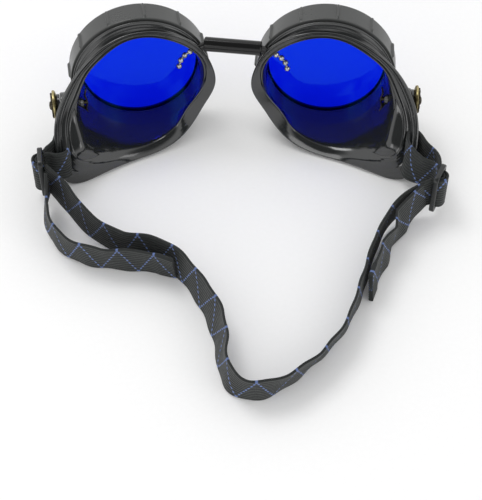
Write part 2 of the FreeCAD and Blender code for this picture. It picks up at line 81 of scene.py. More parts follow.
# Groove between the two beads of the rim: degrees and depth
RIM_GROOVE = np.array((
    (0, 1.15), (30, 1.05), (60, 0.80), (90, 0.65), (140, 0.60), (160, 0.40), (178, 0.12), (196, 0.00),
    (230, 0.00), (270, 0.00), (310, 0.00), (321, 0.50), (333, 0.95), (345, 1.10)))
# Relief across the rim from its outer edge: shares of its width, of the groove's depth and of the roll
RIM_RELIEF = (
    (0.165, 0.00, 0.92), (0.21, 0.10, 0.89), (0.25, 0.50, 0.865), (0.28, 0.52, 0.845), (0.32, 0.16, 0.82),
    (0.36, 0.10, 0.80), (0.41, 0.22, 0.775), (0.46, 0.90, 0.745), (0.52, 1.00, 0.71), (0.62, 1.00, 0.66),
    (0.73, 0.97, 0.60), (0.79, 0.55, 0.57), (0.84, 0.05, 0.545), (0.88, 0.00, 0.52))
# Collar and shoulder of a cup: radius and height; the wall starts at the shoulder
COLLAR = (
    (24.1, -1.0), (25.8, -1.0), (25.9, -1.1), (25.9, -8.9), (26.0, -9.1), (26.8, -9.1), (27.0, -9.2),
    (27.0, -9.7), (27.45, -9.8), (27.6, -9.95), (27.6, -10.35), (27.45, -10.5), (26.9, -10.55))
SHOULDER_R, SHOULDER_H = 26.8, -10.7
# Outer wall of a cup: share of the way from the shoulder to the rim's root, and the ledge there
WALL = (
    (0.16, 0.0), (0.26, 0.0), (0.28, 0.5), (0.31, 0.5), (0.33, 0.0), (0.48, 0.0), (0.50, 0.45), (0.53, 0.45),
    (0.55, 0.0), (0.74, 0.0), (0.88, 0.0), (1.0, 0.0))
# Outer edge of the rim: in from its outer radius and forward of its back
RIM_EDGE = ((1.1, 1.35), (0.5, 1.3), (0.15, 1.05), (0.0, 0.65), (0.1, 0.25), (0.4, 0.03))
# Inner edge of the rim: out from its inner radius, forward of its back, share of the roll
RIM_LIP = ((0.3, 0.03, 0.49), (0.08, 0.25, 0.46), (0.0, 0.7, 0.43))
# Lining from the rim to the throat: share of its own arc, share of the roll
LINING = ((0.82, 0.40), (0.66, 0.36), (0.52, 0.31), (0.38, 0.25), (0.25, 0.18), (0.12, 0.09))
# Throat behind the lens: its radius, the heights of its rows, and how far past it the widest rim reaches
THROAT_R, THROAT_ROWS, WIDEST_REACH = 24.0, (-9.2, -8.6, -1.1), 12.4
# Corner that draws out the lining, as shares from throat to rim and from rim to throat: at a narrow rim, and
# the change to the widest one
CORNER_R, CORNER_H = (0.66, -0.19), (0.16, -0.10)
# Root of the rim on the outer wall: out from the inner radius, forward of the back
ROOT_R, ROOT_H = 2.0, 1.8
# Outline of a strap slot on the axes of its cup: out to the temple, down
SLOT = np.array(((31.9, 9.2), (36.9, 12.8), (36.2, 19.5), (34.4, 26.9), (30.9, 26.9), (31.3, 18.0)))
# Apron where the lining rolls over into the rim: degrees and share
APRON = np.array((
    (0, 0.0), (60, 0.0), (120, 0.0), (170, 0.0), (195, 0.0), (212, 0.05), (228, 0.3), (245, 0.85), (262, 1.0),
    (285, 1.0), (304, 1.0), (314, 0.85), (322, 0.45), (330, 0.08), (345, 0.0)))
# How much further out the soft rim of each cup, and the disc on it, stand at the temple
RIM_SPREAD = {"left": 0.0, "right": 1.7}
SPREAD_AT, SPREAD_OVER = math.radians(15), math.radians(40)
BADGE_LIFT = {"left": 0.0, "right": 1.2}
LIFT_FROM, LIFT_OVER = -4.0, 2.5
# Profiles of the parts on the temple: radius and height along the split pin
PIN_BORE = 0.96
BOSS = (
    (PIN_BORE, -10.6), (1.7, -10.6), (2.0, -10.3), (2.3, -8.6), (3.2, -6.2), (3.6, -5.2), (4.6, -4.4),
    (4.9, -4.0), (4.9, -1.9), (4.6, -1.4), (PIN_BORE, -1.3))
DISC = (
    (PIN_BORE, 0.05), (4.5, 0.05), (4.9, 0.1), (5.4, 0.35), (5.75, 0.45), (6.0, 0.75), (6.1, 1.15),
    (6.0, 1.5), (5.75, 1.65), (5.45, 1.55), (5.2, 1.3), (5.1, 1.05), (4.7, 0.95), (2.0, 0.95),
    (PIN_BORE, 0.95))
WASHER = (
    (PIN_BORE, -1.25), (4.2, -1.25), (4.4, -1.05), (4.4, -0.25), (4.2, -0.05), (PIN_BORE, -0.05))
COG = (
    (PIN_BORE, 1.2), (3.95, 1.2), (4.1, 1.3), (4.2, 1.45), (4.2, 2.15), (4.1, 2.32), (3.95, 2.4), (3.3, 2.4),
    (3.1, 2.15), (2.3, 2.15), (2.1, 2.4), (PIN_BORE, 2.4))
COG_TEETH, TOOTH_HEIGHT = 12, 0.9
# Height of the split pin's inner end
PIN_END = -12.25
# Outline, hoop and middle bar of a slider: half width, half height, corner radius
SLIDER_OUTLINE, SLIDER_HOOP, SLIDER_BAR = (4.7, 8.75, 1.6), (0.82, 1.0, 0.45), (0.9, 0.95, 0.45)
# Lens ring: bore over the collar, opening of the front lip, half width of a grip rib, turn of the ribs
RING_BORE, RING_OPENING, RIB_HALF, RIB_TURN = 25.96, 23.6, 0.55, math.radians(8)
# Direction of the dark gap in the white surroundings
DARK_CEILING = (0.0, -0.5, 0.866)
# Lamps: place and size in metres, watts
LAMPS = {"overhead": ((-0.35, 0.25, 0.95), 0.45, 2.7), "side": ((0.7, -0.5, 0.5), 0.38, 0.65),
         "front": ((-0.5, -1.0, 0.35), 0.45, 1.0)}
LAMP_TARGET = (0, -0.03, 0)
CAMERA_TARGET, CAMERA_OFFSET = Vector((0.00275, -0.0584, 0.0)), Vector((0, -0.3244, 0.3866))
# Ribs across the webbing, their depth in metres, and how far a run sways about its lean
STRAP_RIBS = 11
RIB_DEPTH = 0.09 * MM
SWAY = math.radians(2.8)
# Lengths in metres of a lead from a slider to its cord and of a tail's hem; where in a zigzag each run starts
LEAD_LENGTH = 0.026
HEM = 7 * MM
MAIN_START = -0.06
LOOP_START = {"left": 0.8, "right": 0.3}
TAIL_START = {"left": 0.75, "right": 0.2}
# Layers of strap over the middle bar of a slider: inner and outer face, reach to both sides
WRAPS = {"inner": (-1.2, 1.75, 1.9), "outer": (-0.6, 3.1, 3.0)}
# Loose end of the chain inside a cup, ball by ball: across to the nose, up, depth behind the lens
CHAIN_END = np.array(((20.0, 11.75, 11.22), (17.8, 9.95, 10.81), (16.2, 7.5, 10.40), (15.4, 4.55, 10.20)))

# Routes of the strap's middle line, each point with the degrees by which the strap leans there
MAIN_ROUTE = (
    (-66.3, -39.3, 11.5, -6), (-61.2, -46.7, 10.1, -4), (-55.6, -53.1, 8.8, -1), (-49.0, -58.3, 8.1, 3),
    (-41.1, -61.9, 7.8, 5), (-32.4, -63.9, 7.8, -3), (-24.6, -67.5, 7.7, -5), (-18.5, -73.9, 7.7, -7),
    (-13.7, -81.9, 7.7, -8), (-9.1, -89.9, 7.6, -13), (-5.8, -98.6, 7.5, -17), (-4.0, -107.6, 7.5, -16),
    (-3.8, -116.5, 7.7, -11), (-1.6, -124.6, 7.8, -3), (5.3, -129.4, 7.6, 7), (14.3, -127.8, 7.5, 13),
    (22.2, -122.3, 7.4, 16), (29.1, -115.9, 7.4, 18), (35.2, -108.9, 7.5, 15), (40.4, -101.3, 7.7, 10),
    (44.0, -92.8, 7.8, 3), (47.1, -84.3, 7.8, 0), (49.8, -75.6, 7.8, -1), (52.3, -66.9, 7.9, 0),
    (55.4, -58.7, 8.2, 3), (58.9, -51.3, 9.1, 6), (63.4, -45.5, 10.5, 8), (70.2, -41.5, 12.2, 6))
LOOP_ROUTES = {
    "left": (
        (-74.7, -26.2, 13.2, 0), (-73.0, -25.5, 13.2, 0), (-69.9, -26.8, 13.2, 0), (-65.2, -24.6, 12.9, 0),
        (-65.5, -18.7, 12.6, 0), (-66.6, -14.3, 12.4, 0), (-68.9, -12.5, 12.0, 0), (-71.6, -14.3, 11.5, 0),
        (-72.3, -18.0, 11.3, 0), (-73.5, -21.1, 12.0, 0), (-74.6, -23.3, 12.8, 0), (-75.5, -26.3, 13.2, 0)),
    "right": (
        (79.7, -34.9, 13.2, 0), (79.4, -31.4, 13.2, 0), (74.5, -29.0, 13.2, 0), (69.0, -24.5, 13.0, 13),
        (68.2, -18.2, 12.6, 8), (68.9, -11.8, 12.4, 2), (70.8, -10.0, 12.0, 0), (73.3, -11.6, 11.5, 0),
        (75.7, -16.0, 11.2, 0), (78.8, -21.5, 11.6, 0), (80.6, -27.2, 12.6, 0), (80.7, -31.5, 13.2, 0),
        (80.2, -35.0, 13.2, 0)),
}
TAIL_ROUTES = {
    "left": (
        (-73.0, -34.5, 13.2, 0), (-73.6, -42.5, 11.0, -10), (-72.3, -51.5, 9.0, -4),
        (-67.0, -61.0, 8.1, 5), (-58.6, -66.8, 7.8, 9), (-49.0, -69.2, 7.7, 11), (-39.5, -69.8, 7.7, 8),
        (-31.0, -70.6, 7.7, 10), (-22.2, -73.8, 7.6, 14)),
    "right": (
        (74.0, -41.3, 13.0, 0), (68.8, -45.7, 11.3, 4), (64.5, -51.6, 9.5, 12), (61.2, -58.9, 8.3, -5),
        (57.4, -66.8, 7.9, 8), (53.8, -74.9, 7.8, 3), (50.9, -83.5, 7.8, 5)),
}


def length(name, description, default):
    return bpy.props.FloatProperty(name=name, description=description, default=default, unit="LENGTH")


def colour(name, description, default):
    return bpy.props.FloatVectorProperty(name=name, description=description, default=default, subtype="COLOR")


class GogglesSizes(bpy.types.PropertyGroup):
    """Sizes that a user would change."""
    lens_radius: length("Lens radius", "Radius of a lens disc", 0.025)
    ring_radius: length("Ring radius", "Lens ring without its ribs", 0.0283)
    rib_height: length("Rib height", "Grip ribs above the lens ring", 0.0008)
    rib_count: bpy.props.IntProperty(name="Ribs", description="Grip ribs round one lens ring", default=12)
    strap_width: length("Strap width", "Width of the elastic webbing", 0.015)
    strap_thickness: length("Strap thickness", "Thickness of the elastic webbing", 0.0010)
    stitch_period: length("Stitch period", "Length of one zigzag of the strap's stitching", 0.0143)
    ball_radius: length("Ball radius", "Balls of the chain", 0.0012)


class GogglesFinishes(bpy.types.PropertyGroup):
    """Colours that a user would change."""
    moulding: colour("Moulding", "Moulded black of cups and sliders", (0.0150, 0.0165, 0.0168))
    ring: colour("Lens ring", "Black of the lens rings", (0.042, 0.044, 0.043))
    lens: colour("Lens", "Colour of the lens glass", (0.0012, 0.009, 0.82))
    brass: colour("Brass", "Antique brass of the temple discs", (0.40, 0.34, 0.16))
    webbing: colour("Webbing", "Charcoal of the strap", (0.033, 0.037, 0.036))
    stitching: colour("Stitching", "Zigzag thread of the strap", (0.15, 0.22, 0.48))


def sizes():
    return bpy.context.scene.goggles_sizes


def finishes():
    return bpy.context.scene.goggles_finishes


# Grids and meshes

def quads_of(points, wrap_u, wrap_v):
    """Corner numbers of the quads of a grid: quad (i, j) joins i, i + 1 and j, j + 1."""
    count_u, count_v = points.shape[:2]
    i = np.arange(count_u if wrap_u else count_u - 1)[:, None]
    j = np.arange(count_v if wrap_v else count_v - 1)[None, :]
    i_next, j_next = (i + 1) % count_u, (j + 1) % count_v
    corners = (i * count_v + j, i_next * count_v + j, i_next * count_v + j_next, i * count_v + j_next)
    return np.stack(np.broadcast_arrays(*corners), -1).reshape(-1, 4)


def grid_uv(along, across):
    """Map of a grid that wraps across only, one pair per quad corner: along by row, across by column."""
    i = np.arange(len(along) - 1)[:, None]
    j = np.arange(len(across) - 1)[None, :]
    u = np.stack(np.broadcast_arrays(along[i], along[i + 1], along[i + 1], along[i] + 0 * j), -1)
    v = np.stack(np.broadcast_arrays(across[j] + 0 * i, across[j], across[j + 1], across[j + 1]), -1)
    return np.stack((u, v), -1).reshape(-1)


def linked(name, data):
    """New object in the scene."""
    item = bpy.data.objects.new(name, data)
    bpy.context.scene.collection.objects.link(item)
    return item


def piece(name, grids, material, crease=CREASE, uv=None):
    """Object over one or more grids of points, each given as (points, wrap_u, wrap_v).

    Doubles at poles are merged, faces turned outward, and edges sharper than crease degrees kept sharp."""
    offsets = np.cumsum([0] + [points.shape[0] * points.shape[1] for points, u, v in grids])
    places = np.concatenate([points.reshape(-1, 3) for points, u, v in grids])
    quads = np.concatenate([quads_of(*grid) + offset for grid, offset in zip(grids, offsets)])
    mesh = bpy.data.meshes.new(name)
    mesh.from_pydata(places.tolist(), [], quads.tolist())
    if uv is not None:
        mesh.uv_layers.new(name="UVMap").data.foreach_set("uv", uv.astype(np.float32))
    work = bmesh.new()
    work.from_mesh(mesh)
    bmesh.ops.remove_doubles(work, verts=work.verts, dist=2e-7)
    bmesh.ops.dissolve_degenerate(work, edges=work.edges, dist=1e-8)
    bmesh.ops.recalc_face_normals(work, faces=work.faces)
    work.to_mesh(mesh)
    work.free()
    mesh.polygons.foreach_set("use_smooth", np.ones(len(mesh.polygons), bool))
    mesh.set_sharp_from_angle(angle=math.radians(crease))
    mesh.materials.append(material)
    item = linked(name, mesh)
    return item


def stand_for(item, body, *nodes):
    """The piece moves with a body and hides the solids that it stands for."""
    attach(item, body)
    if nodes:
        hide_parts(*nodes)


def fixed(name, grids, material, slot, body, *nodes, crease=CREASE):
    """Piece made and given to a body at once."""
    stand_for(piece(name, grids, material, crease), body, *nodes)


def carve(item, cutter):
    """Cuts away a closed mesh from a piece and removes the cutter."""
    change = item.modifiers.new("carve", "BOOLEAN")
    change.object = cutter
    change.operation = "DIFFERENCE"
    change.solver = "EXACT"
    shown = item.evaluated_get(bpy.context.evaluated_depsgraph_get())
    mesh = bpy.data.meshes.new_from_object(shown)
    item.modifiers.clear()
    old = item.data
    item.data = mesh
    mesh.name = old.name
    bpy.data.meshes.remove(old)
    mesh.set_sharp_from_angle(angle=math.radians(CREASE))
    bpy.data.objects.remove(cutter)


def closed_spline(table, column, angles):
    """Closed cubic curve through a column of a table of degrees and values, read at angles in radians.

    Each stretch is a Hermite cubic whose end slopes make the curvature run on across the stations."""
    x = np.radians(np.append(table[:, 0], table[0, 0] + 360))
    y = np.append(table[:, column], table[0, column])
    step = np.diff(x)
    rise = np.diff(y) / step
    k = np.arange(len(step))
    left = 1 / step[k - 1]
    right = 1 / step
    system = np.zeros((len(k), len(k)))
    np.add.at(system, (k, k - 1), left)
    np.add.at(system, (k, k), 2 * (left + right))
    np.add.at(system, (k, (k + 1) % len(k)), right)
    slope = np.linalg.solve(system, 3 * (rise[k - 1] * left + rise * right))
    slope = np.append(slope, slope[0])
    at = np.mod(angles - x[0], TURN) + x[0]
    n = np.clip(np.searchsorted(x, at, "right") - 1, 0, len(k) - 1)
    s = (at - x[n]) / step[n]
    return (y[n] * (1 + 2 * s) * (1 - s) ** 2 + slope[n] * step[n] * s * (1 - s) ** 2
            + y[n + 1] * s ** 2 * (3 - 2 * s) + slope[n + 1] * step[n] * s ** 2 * (s - 1))


def softened(rows, times):
    """Closed profile with its corners cut: each pass puts points at 1/4 and 3/4 of every side."""
    for _ in range(times):
        after = np.roll(rows, -1, axis=1)
        pair = np.stack((0.75 * rows + 0.25 * after, 0.25 * rows + 0.75 * after), 2)
        rows = pair.reshape(rows.shape[0], -1, rows.shape[2])
    return rows


def turned(profile, count=96, extra=None):
    """Profile of (radius, height) turned about +Z: point = (r cos a, r sin a, h), extra(a, r, h) on r."""
    angle = np.arange(count)[:, None] * TURN / count
    radius, height = (column[None, :] + 0 * angle for column in np.asarray(profile, float).T)
    if extra is not None:
        radius = radius + extra(angle, radius, height)
    return np.stack((radius * np.cos(angle), radius * np.sin(angle), height), -1)


def ball(centre, radius, count=24):
    """Sphere: latitude and longitude circles about a centre."""
    lat = np.linspace(-math.pi / 2, math.pi / 2, count // 2 + 1)
    return centre + turned(np.stack((radius * np.cos(lat), radius * np.sin(lat)), -1), count)


def rod(start, end, radius, count=12):
    """Round bar between two points with closed ends."""
    axis = end - start
    span = np.linalg.norm(axis)
    shape = turned(((0, 0), (radius, 0), (radius, span), (0, span)), count)
    return start + shape @ square_to(axis / span)


def unit(rows):
    """Rows scaled to a length of one."""
    return rows / np.linalg.norm(rows, axis=-1, keepdims=True)


def square_to(axis):
    """Rows of three axes at right angles, the last one along axis."""
    side = unit(np.cross(axis, (0.0, 0.0, 1.0) if abs(axis[2]) < 0.9 else (1.0, 0.0, 0.0)))
    return np.array((side, np.cross(axis, side), axis))


def carried(section, path, side, up):
    """Section of (across, high) carried along a path: point = path + across * side + high * up."""
    return path[:, None] + section[None, :, :1] * side[:, None] + section[None, :, 1:] * up[:, None]


def rounded_box_section(half_width, half_height, radius, count=5):
    """Closed outline of a rectangle with round corners."""
    quarter = np.linspace(0, math.pi / 2, count)
    turn = (quarter[None, :] + np.arange(4)[:, None] * math.pi / 2).reshape(-1)
    corner = np.repeat(np.array(((1, 1), (-1, 1), (-1, -1), (1, -1))), count, axis=0)
    inner = np.array((half_width - radius, half_height - radius))
    return corner * inner + radius * np.stack((np.cos(turn), np.sin(turn)), -1)


# Places

def cup_axes(side):
    """Axes of a cup as rows, across to the right, down and forward, with its lens centre."""
    screw = JOINTS[side + "_ring_unscrew"]
    forward = np.array(screw["axis"])
    across = SIGN[side] * np.array(JOINTS[side + "_badge_spin"]["axis"])
    across = unit(across - forward * (across @ forward))
    return np.array((across, np.cross(forward, across), forward)), np.array(screw["pos_m"])


def in_cup(side, points):
    """Points in millimetres on the axes of a cup, set in place in metres."""
    axes, centre = cup_axes(side)
    return centre + (points * MM) @ axes


def on_temple(side, points):
    """Points in millimetres on the temple: +Z outward along the split pin, from the back of the brass disc.

    What lies outside the cup's wall is carried out by the badge lift, which grows with z over the boss."""
    pin = JOINTS[side + "_badge_spin"]
    share = np.clip((points[..., 2:] - LIFT_FROM) / LIFT_OVER, 0, 1)
    points = points + BADGE_LIFT[side] * share * (0, 0, 1)
    down = cup_axes(side)[0][1]
    outward = np.array(pin["axis"])
    return np.array(pin["pos_m"]) + (points * MM) @ np.array((np.cross(down, outward), down, outward))


def slider_axes(side):
    """Axes of a slider as rows, out of its outer face, along the strap from the cup, up, and its middle."""
    ahead = np.array(JOINTS[side + "_adjust"]["axis"])
    outward = SIGN[side] * np.array((ahead[1], -ahead[0], 0.0))
    low, high = (np.array(corner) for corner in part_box(side + "_slider"))
    return np.array((outward, -ahead, (0.0, 0.0, 1.0))), (low + high) / 2


def at_slider(side, points):
    """Points in millimetres on the axes of a slider, set in place in metres."""
    axes, middle = slider_axes(side)
    return middle + (np.asarray(points, float) * MM) @ axes


# Materials

def feed(tree, target, value):
    """Links a socket to an input, or sets the input to a plain value."""
    if isinstance(value, bpy.types.NodeSocket):
        tree.links.new(value, target)
    else:
        target.default_value = value


def add_node(tree, kind, **settings):
    """Node of a kind; settings that name inputs set or link them, others set attributes."""
    node = tree.nodes.new(kind)
    for name, value in settings.items():
        if name in node.inputs:
            feed(tree, node.inputs[name], value)
        else:
            setattr(node, name, value)
    return node


def object_place(tree):
    """Object coordinates of a material."""
    return tree.nodes.new("ShaderNodeTexCoord").outputs["Object"]


def noise(tree, scale, detail, **settings):
    """Noise on object coordinates."""
    return add_node(tree, "ShaderNodeTexNoise", Vector=object_place(tree), Scale=scale, Detail=detail,
                    **settings).outputs[0]


def calc(tree, operation, *values, clamp=False):
    """Math node on numbers or sockets."""
    node = add_node(tree, "ShaderNodeMath", operation=operation, use_clamp=clamp)
    for target, value in zip(node.inputs, values):
        feed(tree, target, value)
    return node.outputs[0]


def blended(tree, share, first, second):
    """Colour between two colours by a share."""
    node = add_node(tree, "ShaderNodeMix", data_type="RGBA")
    for index, value in ((0, share), (6, first), (7, second)):
        feed(tree, node.inputs[index], value)
    return node.outputs[2]


def spread(tree, value, low, high, to_low=0.0, to_high=1.0):
    """Value mapped from one range to another, held at its ends."""
    node = add_node(tree, "ShaderNodeMapRange", interpolation_type="SMOOTHSTEP")
    for target, number in zip(node.inputs, (value, low, high, to_low, to_high)):
        feed(tree, target, number)
    return node.outputs[0]


def effect(name, inputs, outputs, build):
    """Shader node group of number sockets, made once; build takes its tree and inputs, gives its outputs."""
    if name in bpy.data.node_groups:
        return bpy.data.node_groups[name]
    tree = bpy.data.node_groups.new(name, "ShaderNodeTree")
    for label, value in inputs.items():
        tree.interface.new_socket(label, in_out="INPUT", socket_type="NodeSocketFloat").default_value = value
    for label in outputs:
        tree.interface.new_socket(label, in_out="OUTPUT", socket_type="NodeSocketFloat")
    enter = tree.nodes.new("NodeGroupInput")
    leave = tree.nodes.new("NodeGroupOutput")
    for label, socket in build(tree, enter.outputs).items():
        tree.links.new(socket, leave.inputs[label])
    return tree


def placed(tree, group, **values):
    """Outputs of a node group set into a material with the given inputs."""
    node = tree.nodes.new("ShaderNodeGroup")
    node.node_tree = group
    for name, value in values.items():
        node.inputs[name.replace("_", " ")].default_value = value
    return node.outputs


def moulded_grain():
    """Roughness and height of moulded plastic: broad flow marks, fine grain and a few dust specks."""
    def build(tree, given):
        flow, fine = noise(tree, 55.0, 3.0), noise(tree, 1400.0, 2.0)
        specks = add_node(tree, "ShaderNodeTexVoronoi", Vector=object_place(tree), Scale=620.0)
        mixed = calc(tree, "ADD", calc(tree, "MULTIPLY", flow, 0.7), calc(tree, "MULTIPLY", fine, 0.3))
        span = calc(tree, "SUBTRACT", given["Rough high"], given["Rough low"])
        over = calc(tree, "MULTIPLY", spread(tree, mixed, 0.3, 0.7), span)
        height = calc(tree, "ADD", calc(tree, "MULTIPLY", flow, 0.75), calc(tree, "MULTIPLY", fine, 0.25))
        return {"Roughness": calc(tree, "ADD", given["Rough low"], over), "Height": height,
                "Dust": spread(tree, specks.outputs["Distance"], 0.10, 0.04)}
    outputs = ("Roughness", "Height", "Dust")
    return effect("moulded_grain", {"Rough low": 0.1, "Rough high": 0.3}, outputs, build)


def patina_and_painted_reflection():
    """Mask of dark patina on handled metal, which on the chain's steel is also painted dark reflection, with
    fine scratches as height.
    """
    def build(tree, given):
        cloud = noise(tree, given["Scale"], 5.0, Roughness=0.65)
        return {"Patina and reflection": spread(tree, cloud, 0.42, 0.66), "Height": noise(tree, 2600.0, 2.0),
                "Roughness": spread(tree, cloud, 0.3, 0.7, 0.24, 0.5)}
    return effect("patina_and_painted_reflection", {"Scale": 320.0}, ("Patina and reflection", "Height", "Roughness"), build)


def new_material(name, **plain):
    """Material with a Principled shader whose plain values are set on its own sockets."""
    material = bpy.data.materials.new(name)
    material.use_nodes = True
    tree = material.node_tree
    shader = tree.nodes["Principled BSDF"]
    for label, value in plain.items():
        shader.inputs[label.replace("_", " ")].default_value = value
    return material, tree, shader


def wired(tree, shader, base, rough, height, distance, strength=1.0):
    """Gives a shader its colour, its roughness and a bump whose height is scaled by a distance in metres."""
    bump = add_node(tree, "ShaderNodeBump", Height=height, Distance=distance, Strength=strength)
    for label, value in (("Base Color", base), ("Roughness", rough), ("Normal", bump.outputs[0])):
        feed(tree, shader.inputs[label], value)


def made_once(make):
    """Gives the material of a name, made on its first use."""
    return lambda name, *values: bpy.data.materials.get(name) or make(name, *values)


@made_once
def plastic(name, base, low, high, bump, specular):
    """Moulded plastic: grain in roughness and height, dust that lightens the colour a little."""
    material, tree, shader = new_material(name, Specular_IOR_Level=specular)
    grain = placed(tree, moulded_grain(), Rough_low=low, Rough_high=high)
    dusty = [min(1.0, 2.2 * value + 0.01) for value in base]
    share = calc(tree, "MULTIPLY", grain["Dust"], 0.35)
    shade = blended(tree, share, (*base, 1), (*dusty, 1))
    wired(tree, shader, shade, grain["Roughness"], grain["Height"], bump)
    return material


@made_once
def metal(name, bright, dark, scale):
    """Handled metal: a mask of patina, and of painted dark reflection on the steel, darkens the colour and
    roughens it.
    """
    material, tree, shader = new_material(name, Metallic=1.0)
    patina_and_reflection = placed(tree, patina_and_painted_reflection(), Scale=scale)
    shade = blended(tree, patina_and_reflection["Patina and reflection"], (*bright, 1), (*dark, 1))
    wired(tree, shader, shade, patina_and_reflection["Roughness"], patina_and_reflection["Height"], 0.00002)
    return material


@made_once
def lens_glass(name):
    """Blue glass: plain transmission, with the faintest waviness and a tint that varies by a breath."""
    material, tree, shader = new_material(
        name, Transmission_Weight=1.0, IOR=1.45, Specular_Tint=(0.03, 0.75, 0.9, 1))
    wave = noise(tree, 22.0, 1.0)
    tint = finishes().lens
    deeper = [0.93 * value for value in tint]
    wired(tree, shader, blended(tree, wave, (*tint, 1), (*deeper, 1)), 0.0, wave, 0.00001, 0.3)
    return material


@made_once
def webbing(name):
    """Elastic webbing on its own map: u counts zigzags along, v runs from the lower to the upper edge.

    Ribs: height = |sin| of v; picks: |sin| of u. Stitch line: v = 1 - |2 frac(u) - 1|, cut into dashes by v,
    with a deeper knot where it meets the upper edge."""
    material, tree, shader = new_material(
        name, Sheen_Weight=0.12, Sheen_Roughness=0.5, Specular_IOR_Level=0.25)

    def do(*given, **settings):
        return calc(tree, *given, **settings)

    def beat(value, count):
        return do("ABSOLUTE", do("SINE", do("MULTIPLY", value, count * math.pi)))

    at = add_node(tree, "ShaderNodeUVMap", uv_map="UVMap").outputs[0]
    split = add_node(tree, "ShaderNodeSeparateXYZ", Vector=at).outputs
    u, v = split["X"], split["Y"]
    ribs, picks, dash = beat(v, STRAP_RIBS), beat(u, 24), beat(v, 8.5)
    twice = do("MULTIPLY", do("FRACT", u), 2.0)
    saw = do("ABSOLUTE", do("SUBTRACT", twice, 1.0))
    line = do("ADD", do("MULTIPLY", do("SUBTRACT", 1.0, saw), 0.94), 0.03)
    off = do("ABSOLUTE", do("SUBTRACT", v, line))
    thread = do("MULTIPLY", spread(tree, off, 0.052, 0.034), spread(tree, dash, 0.60, 0.78))
    knot = do("MULTIPLY", spread(tree, saw, 0.075, 0.045), spread(tree, v, 0.91, 0.935))
    stitch = do("MAXIMUM", thread, knot, clamp=True)
    fuzz = noise(tree, 900.0, 3.0)
    base = finishes().webbing
    # The cloth darkens where the weave's height is low: painted shade in the grooves between the ribs and
    # picks.
    painted_groove_colour = [0.45 * value for value in base]
    weave = do("MULTIPLY", ribs, do("ADD", 0.7, do("MULTIPLY", picks, 0.3)))
    shade = do("MULTIPLY", weave, spread(tree, fuzz, 0.25, 0.6, 0.75, 1.0))
    cloth = blended(tree, shade, (*painted_groove_colour, 1), (*base, 1))
    deeper = [0.7 * value for value in finishes().stitching]
    yarn = blended(tree, knot, (*finishes().stitching, 1), (*deeper, 1))
    rough = spread(tree, fuzz, 0.3, 0.7, 0.62, 0.8)
    height = do("ADD", weave, do("MULTIPLY", stitch, 0.8))
    wired(tree, shader, blended(tree, stitch, cloth, yarn), rough, height, 0.00016, 0.9)
    return material


def moulded_black():
    return plastic("moulded_black", finishes().moulding, 0.07, 0.16, 0.00005, 0.95)


def antique_brass():
    return metal("antique_brass", finishes().brass, (0.13, 0.105, 0.05), 320.0)


def dark_brass():
    return metal("dark_brass", (0.075, 0.064, 0.042), (0.026, 0.022, 0.017), 420.0)


# Pieces

def rolled(start, corner, end, share):
    """Point on the arc from start to end drawn out by a corner: (1-t)^3 start + 3t(1-t) corner + t^3 end."""
    return (1 - share) ** 3 * start + 3 * share * (1 - share) * corner + share ** 3 * end


def cup_rows(angle, wider):
    """Closed profile of a cup round each angle, as (radius, height) rows from the collar over the shoulder
    and the outer wall to the rim, across the rim's two beads, and back along the lining.

    Wall: radius and height run from the shoulder to the rim's root by a share, with moulded ledges. Rim:
    height is raised by groove * relief at a share of its width. Apron: lining and rim give way to one rolled
    arc. Spread: the rim's radius grows by wider * exp(-((angle - SPREAD_AT) / SPREAD_OVER)^2)."""
    away = np.mod(angle - SPREAD_AT + math.pi, TURN) - math.pi
    bulge = wider * np.exp(-(away / SPREAD_OVER) ** 2)
    inner = closed_spline(FLANGE, 1, angle) + bulge
    outer = closed_spline(FLANGE, 2, angle) + bulge
    back = -closed_spline(FLANGE, 3, angle)
    groove = np.maximum(closed_spline(RIM_GROOVE, 1, angle), 0)
    apron = np.clip(closed_spline(APRON, 1, angle), 0, 1)[:, None]
    plain = np.ones_like(angle)
    width = outer - inner

    def row(radius, height):
        return np.stack((radius * plain, height * plain), -1)

    collar = [row(r, h) for r, h in COLLAR]
    over_r = inner + ROOT_R - SHOULDER_R
    over_h = back + ROOT_H - SHOULDER_H + 0.6 * apron[:, 0]
    wall = [row(SHOULDER_R + over_r * s + d + apron[:, 0] * s ** 2, SHOULDER_H + over_h * s) for s, d in WALL]
    edge = [row(outer - a, back + b) for a, b in RIM_EDGE]
    throat = [row(THROAT_R, h) for h in THROAT_ROWS]
    wide = np.clip((inner - THROAT_R) / WIDEST_REACH, 0, 1)
    corner = row(THROAT_R + (inner - THROAT_R) * (CORNER_R[0] + CORNER_R[1] * wide),
                 back + (CORNER_H[0] + CORNER_H[1] * wide) * (THROAT_ROWS[0] - back))
    face = [(row(outer - s * width, back + groove * d), t) for s, d, t in RIM_RELIEF]
    lip = [(row(inner + a, back + b), t) for a, b, t in RIM_LIP]
    lining = [(rolled(throat[0], corner, lip[-1][0], s), t) for s, t in LINING]
    sweep = [(1 - apron) * point + apron * rolled(throat[0], corner, edge[-1], t)
             for point, t in face + lip + lining]
    return softened(np.stack(collar + wall + edge + sweep + throat, 1), 2)


def eased_corners(points, reach, count=5):
    """Closed outline with its corners rolled over, each from reach before it to reach after it."""
    before = reach * unit(np.roll(points, 1, axis=0) - points)
    after = reach * unit(np.roll(points, -1, axis=0) - points)
    share = np.linspace(0, 1, count)[None, :, None]
    corner = points[:, None]
    return rolled(corner + before[:, None], corner, corner + after[:, None], share).reshape(-1, 2)


